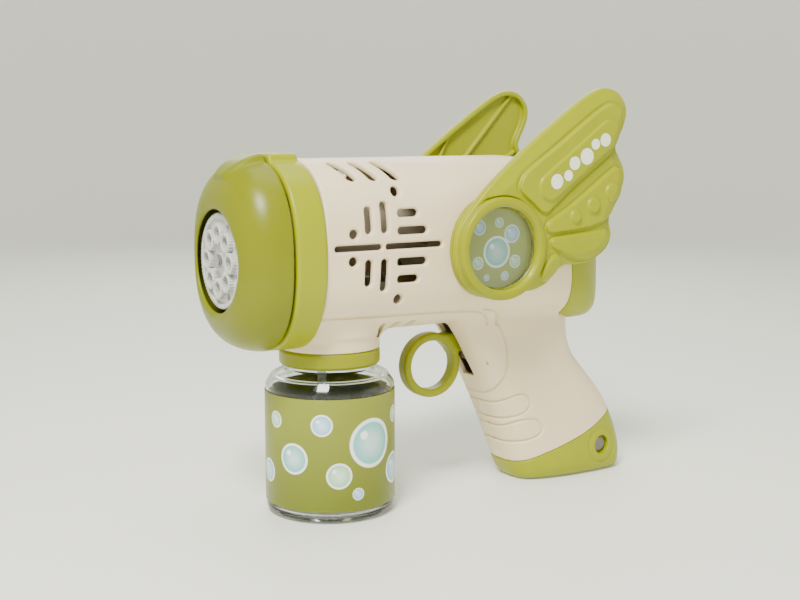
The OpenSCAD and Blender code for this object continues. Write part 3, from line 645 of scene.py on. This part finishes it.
base_loop = smooth_loop(
    [(-20, -110), (150, -110), (150, -30), (120, -41), (108, -47.6), (102, -51.6), (97.4, -54.4),
     (91.7, -57.2), (86, -59.8), (80, -62.2), (72, -64.8), (60, -68.4), (50.6, -71.4), (40, -73.6),
     (20, -77), (-20, -82)], 6)
BASE_EDGE = Flat((0, -100), (130, -30), lambda u, v: loop_dist(u, v, base_loop), 0.25)
SCREWS = ((-42.6, 51.2), (-9.4, 51.2), (50, 48.5), (56, 3), (1, -4.6), (46.6, -52), (86.2, -40))


def box_field(p, half, rad):
    q = np.abs(p) - (np.array(half) - rad)
    return np.linalg.norm(np.maximum(q, 0), axis=1) + np.minimum(q.max(1), 0) - rad


def slot_field(x, y, z, at, tilt, slant, half, r, lo, hi):
    """Round-ended slot in a tilted plane; lo and hi bound it across that plane."""
    u, v, w = x - at[0], y - at[1], z - at[2]
    c, s = math.cos(math.radians(tilt)), math.sin(math.radians(tilt))
    v, w = v * c + w * s, -v * s + w * c
    c, s = math.cos(math.radians(slant)), math.sin(math.radians(slant))
    u, v = u * c + v * s, -u * s + v * c
    d = np.hypot(u, np.maximum(np.abs(v) - half, 0)) - r
    return np.maximum(d, np.maximum(lo - w, w - hi))


def shell(P, side):
    """One half of the case. side -1 is the left."""
    x, y, z = P.T
    ay = np.abs(y)
    bar = smax(smax(barrel(x, y, z), tail_line(x, z), 0.5), -48.25 - x, 0.7)
    outer = smin(bar, smax(grip(x, y, z), -BASE_EDGE(x, z), 0.5), 2.5)
    outer = smin(outer, neck(x, y, z), 4) + relief(x, z)
    f = smax(outer, -body_solid(x, y, z, WALL), 0.6)
    # spigot under the collar, with the web that carries it
    bore = oval(y, z - 23.5, 26.0, 28.5, 2.4)
    f = smin(f, smax(smax(oval(y, z - 23.5, 27.8, 30.3, 2.4), np.abs(x + 52.9) - 6.6, 0.3), -bore, 0.3), 0.3)
    f = smin(f, smax(smax(oval(y, z - 23.5, 29.8, 32.3, 2.4), np.abs(x + 47.1) - 0.95, 0.2), -bore, 0.3), 0.3)
    cut = np.where(ay > 14, vent_field(x, z), 10.0)
    for sx in (-35.5, -26.4, -17):
        cut = np.minimum(cut, slot_field(x, -ay, z, (sx, -16.7, 52.7), 29, 20, 4.8, 2.0, -8, 9))
    for sx in (-18.6, -11.8, -5):
        cut = np.minimum(cut, slot_field(x, -ay, z, (sx, -13.6, -9.2), -9.5, 0, 4.2, 1.05, -1.6, 6))
    f = smax(f, -(cut - 0.55 * np.clip(1 + barrel(x, y, z) / 0.9, 0, 1)), 0.25)
    # slot for the trigger, mouth of the bottle socket
    gap = np.stack([x - 20.5, y, z + 21.8], 1)
    f = smax(f, -box_field(gap, (16, 4.3, 11.6), 1.0), 0.6)
    f = smax(f, -np.maximum(np.hypot(x - BOTTLE_X, y) - 17.1, z - 4), 0.5)
    if side > 0:
        for p in SCREWS:
            r = np.hypot(x - p[0], z - p[1])
            post = smax(smax(r - 3.6, 4.6 - y, 0.5), body_solid(x, y, z, 0.4), 0.3)
            f = smax(smin(f, post, 0.6), -np.maximum(r - 2.55, 6.2 - y), 0.5)
    return smax(f, (y if side < 0 else -y) + 0.06, 0.5)


def nose_section(x, y, z, inset=0.0):
    s = 6.2 * np.clip((-61 - x) / 19, 0, 1.1) ** 2.1
    return oval(y, z - 21.25, 31.2 - inset - s, 35.75 - inset - s, 2.3)


def rail(x, y, z):
    top = 59.2 - 4.4 * step(-63, -78, x)
    return smax(smax(np.abs(y) - 7.6, z - top, 2.4), 48 - z, 0.5)


def collar(P):
    x, y, z = P.T
    sec = oval(y, z - 21.25, 31.2, 35.75, 2.3)
    f = smin(sec, rail(x, y, z), 1.5)
    f = smax(f, np.abs(x + 54.55) - 6.15, 1.6)
    inner = oval(y, z - 23.5, 28.0, 30.5, 2.4)
    socket = np.maximum(np.hypot(x - BOTTLE_X, y) - 20.6 - 1.2 * step(-12, -9, z), np.abs(z + 11) - 5)
    return smax(f, -np.minimum(inner, socket), 0.5)


def nose(P):
    x, y, z = P.T
    f = smin(nose_section(x, y, z), rail(x, y, z), 1.8)
    f = smax(f, -79.9 - x, 11)
    f = smax(f, x + 61.7, 1.4)
    inner = smax(nose_section(x, y, z, 2.4), -77.3 - x, 5)
    f = smax(f, -inner, 0.5)
    return smax(f, -np.maximum(np.hypot(y, z - WHEEL_Z) - 18.8, x + 70), 2.6)


def tray(P):
    """Drip tray inside the nose, cut to the nose's inner face."""
    x, y, z = P.T
    inner = smax(nose_section(x, y, z, 2.5), -77.2 - x, 5)
    f = smax(box_field(np.stack([x + 70.7, y, z + 6], 1), (6.6, 14, 4.5), 0.5), inner + 0.1, 0.4)
    hollow = smax(box_field(np.stack([x + 70.75, y, z + 3.65], 1), (5.45, 12.8, 5.65), 0.5), inner + 1.3, 0.4)
    return smax(f, -hollow, 0.3)


def tail(P):
    x, y, z = P.T
    f = smax(barrel(x, y, z), -barrel(x, y, z, WALL), 0.5)
    f = smax(f, -tail_line(x, z) + 0.25, 0.6)
    g = smax(grip(x, y, z, -0.25), x - 79.6, 0.4)
    return smax(f, -g, 0.5)


def base(P):
    x, y, z = P.T
    f = smax(grip(x, y, z) + 0.05, -grip(x, y, z, WALL), 0.5)
    f = smax(f, BASE_EDGE(x, z) + 0.2, 0.7)
    r = np.hypot(x - 92.4, z + 68)
    boss = 0.45 * np.exp(-((r - 7.6) / 0.6) ** 2)
    f = f + boss * (y < 0)
    cup = smax(smax(r - 5.4, y + 11.4, 0.3), grip(x, y, z, 0.2), 0.4)
    f = smin(f, cup, 0.8)
    return smax(f, -np.minimum(np.maximum(r - 4.0, y + 12.7), np.maximum(r - 1.4, -y - 30)), 0.5)


WING = smooth_loop([(10.0, 36.4), (19, 46.4), (30.5, 56.2), (42.2, 65.1), (51, 71.3), (59.1, 76.8),
                    (67, 81.6), (74, 83.9), (80.6, 82.6), (85, 78), (85.7, 73), (84, 67.8), (81.4, 62.8),
                    (80.7, 59.8), (82, 57.2), (84.6, 52.8), (85.4, 47.5), (83.4, 41.6), (80.2, 36.6),
                    (78.3, 32.6), (78.2, 29.4), (79.2, 25.3), (77.6, 21), (74.6, 18), (68.4, 14.9),
                    (61.5, 14.1), (55.6, 14.1), (52, 12.2), (47.8, 8.1), (44, 6.1), (40.5, 5.1),
                    (36, 4.8), (31, 4.8), (24, 6), (18, 12), (12, 22), (7.8, 30)],
                   6)
PANELS = [smooth_loop(q, 6) for q in (
    [(31.6, 45.7), (32.6, 49), (36, 52.4), (50, 61.7), (60, 68.6), (69.6, 74.9), (76, 77.6), (80.8, 75.4),
     (81.8, 68.6), (79.4, 61.4), (70, 54.2), (57.7, 45.8), (48, 38.2), (44.8, 35.7), (41.8, 36), (38, 39.2),
     (33.4, 42.8)],
    [(45.0, 30.6), (45.2, 28.4), (47.6, 27.6), (60.7, 28.5), (69, 29.9), (75.9, 32.4), (80.6, 36.8),
     (83, 43.3), (82.6, 48.4), (80.5, 52.2), (76.6, 51.2), (62.9, 41.8), (54, 36.2), (47.2, 32.6)],
    [(48.4, 25.5), (46.8, 23.8), (47.8, 21.7), (51.6, 20.1), (58.4, 17.3), (63, 16.5), (68.4, 16.8), (74, 20),
     (76.4, 24), (75.4, 27.2), (72, 27.7), (60.7, 26.6), (52, 26.0)],
    [(43.1, 9.6), (43.0, 12.6), (45.4, 16.0), (48.6, 18.4), (51.6, 17.8), (52.2, 14.8), (50.6, 11.6),
     (46.4, 8.8)])]
PILL = ((45.5, 45.6), (74.3, 66.0), 5.3)
BUMPS = (((58.3, 33.7), 2.6), ((67.2, 37.8), 3.1), ((76.7, 42.7), 3.5))
wing_out = Flat((0, -4), (96, 94), lambda u, v: loop_dist(u, v, WING), 0.25)


def wing_relief_map(u, v):
    h = np.zeros(len(u))
    for p, t in zip(PANELS, (1.2, 1.1, 1.1, 1.0)):
        d = loop_dist(u, v, p)
        h += t * step(0.3, -0.45, d) - 0.35 * np.exp(-((d - 0.7) / 0.45) ** 2)
    h += 0.95 * step(0.3, -0.45, seg_dist(u, v, PILL[0], PILL[1]) - PILL[2])
    for c, r in BUMPS:
        h += step(0.35, -0.5, np.hypot(u - c[0], v - c[1]) - r)
    return h


wing_relief = Flat((0, -4), (96, 94), wing_relief_map, 0.2)


def wing(P):
    x, y, z = P.T
    r = np.hypot(x - HUB_X, z - HUB_Z)
    o = smin(wing_out(x, z), r - 19.9, 0.6)
    crown = 1.4 * step(-0.5, -6, o)
    face = -(y + 35.1 + crown + wing_relief(x, z) * step(0.2, -1.2, o))
    f = smax(smax(o, face, 1.5), y + 31.45, 0.8)
    pocket = smax(smax(o + 2.1, -(y + 33.9), 0.8), 21.6 - r, 0.8)
    for k in range(4):
        a = math.radians(16 + 16 * k)
        q = np.abs(-(x - HUB_X) * math.sin(a) + (z - HUB_Z) * math.cos(a)) - 0.7
        pocket = smax(pocket, -smax(q, y + 32.6, 0.4), 0.5)
    f = smax(f, -pocket, 0.6)
    f = smax(f, -np.maximum(r - 20.2, y + 35.05), 0.3)
    return smax(f, 17.7 - r, 0.3)


HUB = fillet([(14.0, -32.8, 0.4), (14.0, -34.0, 0.3), (16.0, -34.0, 0.3), (16.0, -37.0, 0.8),
              (16.5, -38.95, 2.2), (19.8, -38.95, 2.6), (20.0, -35.25, 1.0), (17.6, -35.2, 0.4),
              (17.6, -31.3, 0.2), (19.9, -31.3, 0.5), (19.9, -24.8, 0.3), (1.4, -24.8, 0.2),
              (1.4, -32.8, 0.2)], 6)
hub_profile = Flat((-1, -41), (23, -22), lambda u, v: loop_dist(u, v, HUB), 0.08)


def hub(P):
    x, y, z = P.T
    f = hub_profile(np.hypot(x - HUB_X, z - HUB_Z), y)
    return smax(f, -barrel(x, y, z) + 0.04, 0.3)


def trigger(P):
    x, y, z = P.T
    r = np.hypot(x - 14, z + 27.5)
    ay = np.abs(y)
    ring = smax(smax(r - 13.3, 10.0 - r, 1.2), ay - 3.0, 1.3)
    neck_part = box_field(np.stack([x - 25, y, z + 19], 1), (5, 2.9, 3.8), 1.0)
    arm = box_field(np.stack([x - 35, y, z + 19.1], 1), (7, 4, 3.9), 0.6)
    f = smin(smin(ring, smax(neck_part, 10.4 - r, 0.5), 1.5), arm, 0.5)
    finger = box_field(np.stack([x - 40.2, y, z + 14], 1), (2.8, 1.5, 1.9), 0.4)
    return smin(f, finger, 0.4)


def wheel(P):
    x, y, z = P.T
    r = np.hypot(y, z - WHEEL_Z)
    a = np.arctan2(z - WHEEL_Z, y)
    rim = 17.7 - 0.22 * np.cos(a * 72)
    f = smax(r - rim, np.abs(x + 75.2) - 1.1, 0.5)
    outer = smax(smax(r - rim, 15.9 - r, 0.4), np.abs(x + 76.2) - 1.2, 0.5)
    teeth = 0.45 * np.clip(2.4 * np.cos(a * 50 + math.pi), -1, 1) * 0.9
    gear = smax(smax(r - 15 - teeth, 13.5 - r, 0.2), np.abs(x + 72.4) - 1.8, 0.3)
    middle = smax(r - 3.0, np.abs(x + 73.4) - 3.8, 0.5)
    f = smin(smin(f, outer, 0.4), np.minimum(gear, middle), 0.3)
    k = np.round(a / (math.pi / 4)) * (math.pi / 4)
    cy, cz = 10.2 * np.cos(k), WHEEL_Z + 10.2 * np.sin(k)
    q = np.hypot(y - cy, z - cz)
    b = np.arctan2(z - cz, y - cy)
    ring = smax(q - 3.75 - 0.2 * np.cos(b * 22), np.abs(x + 76.4) - 2.2, 0.4)
    f = smin(f, ring, 0.3)
    f = smax(f, 2.55 + 0.16 * np.cos(b * 22) - q, 0.4)
    # windows between the ring nozzles
    a2 = a - (np.floor(a / (math.pi / 4)) + 0.5) * (math.pi / 4)
    w = np.hypot(r - 13.6, r * a2) - 1.25
    f = smax(f, -w, 0.4)
    return smax(f, 1.56 - r, 0.3)


# each moulded piece: its field, the box that holds it, and the cell size, all in mm
H = 1.0
JOBS = {
    "case_half_left": (lambda P: shell(P, -1), (-61, -33, -83), (108, 1, 59), 0.43),
    "case_half_right": (lambda P: shell(P, 1), (-61, -1, -83), (108, 33, 59), 0.5),
    "wing_panel": (wing, (4, -40, 2), (90, -30, 88), 0.42),
    "nose_shell": (nose, (-82, -33, -17), (-60, 33, 62), 0.5),
    "collar_front": (collar, (-62, -33, -17), (-46, 33, 62), 0.5),
    "tail_shell": (tail, (46, -33, -17), (97, 33, 59), 0.55),
    "drip_dish": (tray, (-79, -15, -12), (-63, 15, 0), 0.4),
    "grip_foot": (base, (38, -19, -82), (111, 19, -44), 0.5),
    "hub_rim": (hub, (3, -40, 1), (45, -24, 44), 0.4),
    "ring_trigger": (trigger, (-1, -5, -42), (45, 5, -10), 0.35),
    "nozzle_wheel": (wheel, (-79.5, -19, 1), (-69, 19, 39), 0.3),
}
with ThreadPoolExecutor(4) as pool:
    DONE = dict(zip(JOBS, pool.map(lambda j: mesh_field(j[0], j[1], j[2], j[3] * H), JOBS.values())))


def build(name, mat, body, slot_name, node, job=None, mirror=False):
    v, q = DONE[job or name]
    if mirror:
        v, q = v * [1, -1, 1], q[:, ::-1]
    return finish_piece(new_mesh(name, v, q), M[mat], body, slot_name, node)


for row in (("case_half_left", "cream", "gun", "cream", "body_shell_left"),
            ("case_half_right", "cream", "gun", "cream", "body_shell_right"),
            ("collar_front", "lime", "gun", "lime", "front_collar"),
            ("nose_shell", "lime_nose", "gun", "lime", "nose_cap"),
            ("drip_dish", "inner", "gun", "inner_cream", "drip_tray"),
            ("tail_shell", "lime", "gun", "lime", "tail_cap"),
            ("grip_foot", "lime", "base_body", "lime_deep", "grip_base"),
            ("wing_panel_left", "wing", "left_wing_body", "lime", "wing_left", "wing_panel"),
            ("wing_panel_right", "wing", "right_wing_body", "lime", "wing_right", "wing_panel", True),
            ("hub_rim_left", "lime_deep", "gun", "lime_deep", "hub_ring_left", "hub_rim"),
            ("hub_rim_right", "lime_deep", "gun", "lime_deep", "hub_ring_right", "hub_rim", True),
            ("ring_trigger", "lime_deep", "trigger_body", "lime", "trigger"),
            ("nozzle_wheel", "frosted", "wheel", "frosted", "bubble_wheel")):
    build(*row)

# hub labels and lenses, turned
DISC = fillet([(0.02, -34.05, 0), (0.3, -34.05, 0), (15.5, -34.05, 0), (15.9, -34.1, 0.05),
               (15.9, -34.4, 0.05), (15.5, -34.42, 0), (0.3, -34.42, 0), (0.02, -34.42, 0)], 3)
WINDOW = fillet([(0.02, -35.4, 0), (0.3, -35.4, 0), (15.5, -35.4, 0), (15.9, -35.4, 0.1), (15.9, -36.2, 0.3),
                 (15.2, -36.42, 0.2), (14.6, -36.42, 0), (7, -36.42, 0), (0.3, -36.42, 0),
                 (0.02, -36.42, 0)], 5)
for s, tag in ((1, "left"), (-1, "right")):
    for name, prof, mat, slot_name, node in (("hub_disc_", DISC, "hub_print", "label_print", "hub_label_"),
                                             ("hub_window_", WINDOW, "lens", "clear", "hub_lens_")):
        pr = [(r, h * s) for r, h in (prof if s > 0 else prof[::-1])]
        finish_piece(lathe(name + tag, pr, (HUB_X, 0, HUB_Z), "y", 128), M[mat], "gun", slot_name, node + tag)

# bottle, its collar and label, turned
B = (BOTTLE_X, 0, 0)
BOTTLE = fillet([(0.02, -76.6, 0), (15.5, -77.2, 2.0), (18.6, -79.98, 1.0), (22.2, -80.0, 1.6),
                 (25.1, -78.4, 3.0), (25.15, -32.5, 1.5), (25.1, -29.2, 3.6), (22.6, -25.6, 2.4),
                 (17.4, -23.3, 1.8), (15.9, -21.2, 0.8), (15.9, -10.2, 0.5), (14.4, -10.2, 0.4),
                 (14.4, -21.8, 0.8), (16.4, -24.4, 1.6), (21.8, -26.9, 2.2), (23.9, -30.0, 3.0),
                 (23.95, -32.5, 1.5), (23.95, -76.6, 3.0), (20.6, -78.2, 1.2), (16.2, -75.6, 1.6),
                 (0.02, -75.2, 0)], 8)
finish_piece(lathe("bottle_clear", BOTTLE, B, "z", 192), M["bottle"], "bottle_body", "bottle_clear", "bottle")
LABEL = fillet([(25.2, -75.0, 0.05), (25.42, -75.0, 0.1), (25.42, -31.8, 0.1), (25.2, -31.8, 0.05)], 3)
finish_piece(lathe("bottle_wrap", LABEL, B, "z", 192), M["bottle_print"], "bottle_body", "bottle_print",
             "bottle_label")
COLLAR = fillet([(16.35, -22.0, 0.4), (18.9, -22.0, 0.5), (19.65, -21.0, 0.9), (19.65, -16.6, 0.8),
                 (19.0, -15.75, 0.5), (16.9, -15.75, 0.2), (16.9, -7.0, 0.3), (16.35, -7.0, 0.2)], 6)
finish_piece(lathe("bottle_ring", COLLAR, B, "z", 192), M["lime_deep"], "gun", "lime_deep", "bottle_collar")

# trigger spring, a real coil
turns, rad, wire = 5.5, 2.0, 0.3
n = 260
t = np.linspace(0, 1, n)
th = t * turns * 2 * math.pi
xs = 42.4 + wire + (8.1 + 0.28 * 2 - 0.3) * t
cen = np.stack([xs, rad * np.cos(th), -19.2 + rad * np.sin(th)], 1)
tan = np.gradient(cen, axis=0)
tan /= np.linalg.norm(tan, axis=1)[:, None]
rdir = np.stack([np.zeros(n), np.cos(th), np.sin(th)], 1)
bi = np.cross(tan, rdir)
k = 10
ph = np.arange(k) / k * 2 * math.pi
sv = (cen[:, None, :] + wire * (np.cos(ph)[None, :, None] * rdir[:, None, :]
                                + np.sin(ph)[None, :, None] * bi[:, None, :])).reshape(-1, 3)
i = np.arange(k)
sq = np.concatenate([np.stack([a * k + i, (a + 1) * k + i, (a + 1) * k + (i + 1) % k, a * k + (i + 1) % k], 1)
                     for a in range(n - 1)])
spring = finish_piece(new_mesh("return_spring", sv, sq), M["steel"], "gun", "steel", "trigger_spring")
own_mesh(spring)

# everything kept from the CAD gets its own finish
# the inner_cream parts get the darker painted-shade copy of the cream
SLOT_MAT = {"steel": "steel", "inner_cream": "inner", "pcb": "pcb", "led": "led", "white_nylon": "nylon",
            "motor_can": "can", "brass": "brass", "black_plastic": "black", "hose": "hose", "seal": "seal",
            "cell": "cell", "contact": "contact", "wire": "wire", "cream": "cream", "lime": "lime",
            "lime_deep": "lime_deep", "label_print": "hub_print", "clear": "lens", "frosted": "frosted",
            "bottle_clear": "bottle", "bottle_print": "bottle_print"}
slot_of = {s["node"]: s["material_slot"] for s in frame["record"]["subparts"]}
for node, ob in frame["nodes"].items():
    for sl in ob.material_slots:
        sl.material = M["screw" if node in ("base_screw", "body_screws") else SLOT_MAT[slot_of[node]]]

# ---------------------------------------------------------------- floor, light, camera
# a round floor that curves up into a wall
prof = [(0.001, 0), (0.3, 0), (0.7, 0), (1.1, 0)]
prof += [(1.1 + 0.5 * math.sin(a), 0.5 - 0.5 * math.cos(a)) for a in np.linspace(0.1, math.pi / 2, 16)]
prof += [(1.6, 0.8), (1.6, 1.2)]
sv = [(r * math.cos(a), r * math.sin(a), z) for r, z in prof for a in np.linspace(0, 2 * math.pi, 97)[:-1]]
sf = [(k * 96 + i, k * 96 + (i + 1) % 96, (k + 1) * 96 + (i + 1) % 96, (k + 1) * 96 + i)
      for k in range(len(prof) - 1) for i in range(96)]
sf.append(tuple(range(95, -1, -1)))
me = bpy.data.meshes.new("studio_floor")
me.from_pydata(sv, [], sf)
me.polygons.foreach_set("use_smooth", [True] * len(sf))
floor = bpy.data.objects.new("studio_floor", me)
bpy.context.scene.collection.objects.link(floor)
fm, nt, b = base_mat("pale_floor")
fn = noise(nt, 6, 2)
nt.links.new(mix(nt, fn, (0.83, 0.84, 0.76), (0.85, 0.86, 0.78)), b.inputs["Base Color"])
b.inputs["Roughness"].default_value = 0.6
b.inputs["Emission Color"].default_value = (0.93, 0.96, 0.84, 1)
b.inputs["Emission Strength"].default_value = 0.16
me.materials.append(fm)

world = bpy.data.worlds.new("studio")
world.use_nodes = True
bpy.context.scene.world = world
world.node_tree.nodes["Background"].inputs["Color"].default_value = (0.97, 0.98, 0.93, 1)
world.node_tree.nodes["Background"].inputs["Strength"].default_value = 0.25


def area(name, loc, aim, size, power, col=(1, 1, 1)):
    l = bpy.data.lights.new(name, "AREA")
    l.shape = "RECTANGLE"
    l.size, l.size_y = size
    l.energy = power
    l.color = col
    o = bpy.data.objects.new(name, l)
    o.location = loc
    d = Vector(aim) - Vector(loc)
    o.rotation_euler = d.to_track_quat("-Z", "Y").to_euler()
    bpy.context.scene.collection.objects.link(o)


area("key_light", (-0.5, -0.45, 0.85), (0, 0, 0.09), (0.3, 0.3), 20, (1, 0.97, 0.92))
area("top_light", (0.1, 0.15, 0.9), (0, 0, 0.1), (0.6, 0.6), 3)
area("fill_light", (0.75, -0.55, 0.35), (0, 0, 0.08), (0.5, 0.6), 0.7, (0.97, 0.99, 1))
area("back_light", (0.35, 0.75, 0.55), (0, 0, 0.1), (0.6, 0.4), 2.5)

az, el = math.radians(31), math.radians(8)
back = Vector((-math.sin(az) * math.cos(el), -math.cos(az) * math.cos(el), math.sin(el)))
cam_data = bpy.data.cameras.new("camera")
cam_data.sensor_width = 36.0
cam_data.lens = 36.0 * 1290 / 800
cam_data.clip_start = 0.01
cam = bpy.data.objects.new("camera", cam_data)
cam.location = Vector((DX / 1000, 0, DZ / 1000)) + back * 0.516
cam.rotation_euler = (-back).to_track_quat("-Z", "Y").to_euler()
bpy.context.scene.collection.objects.link(cam)
bpy.context.scene.camera = cam
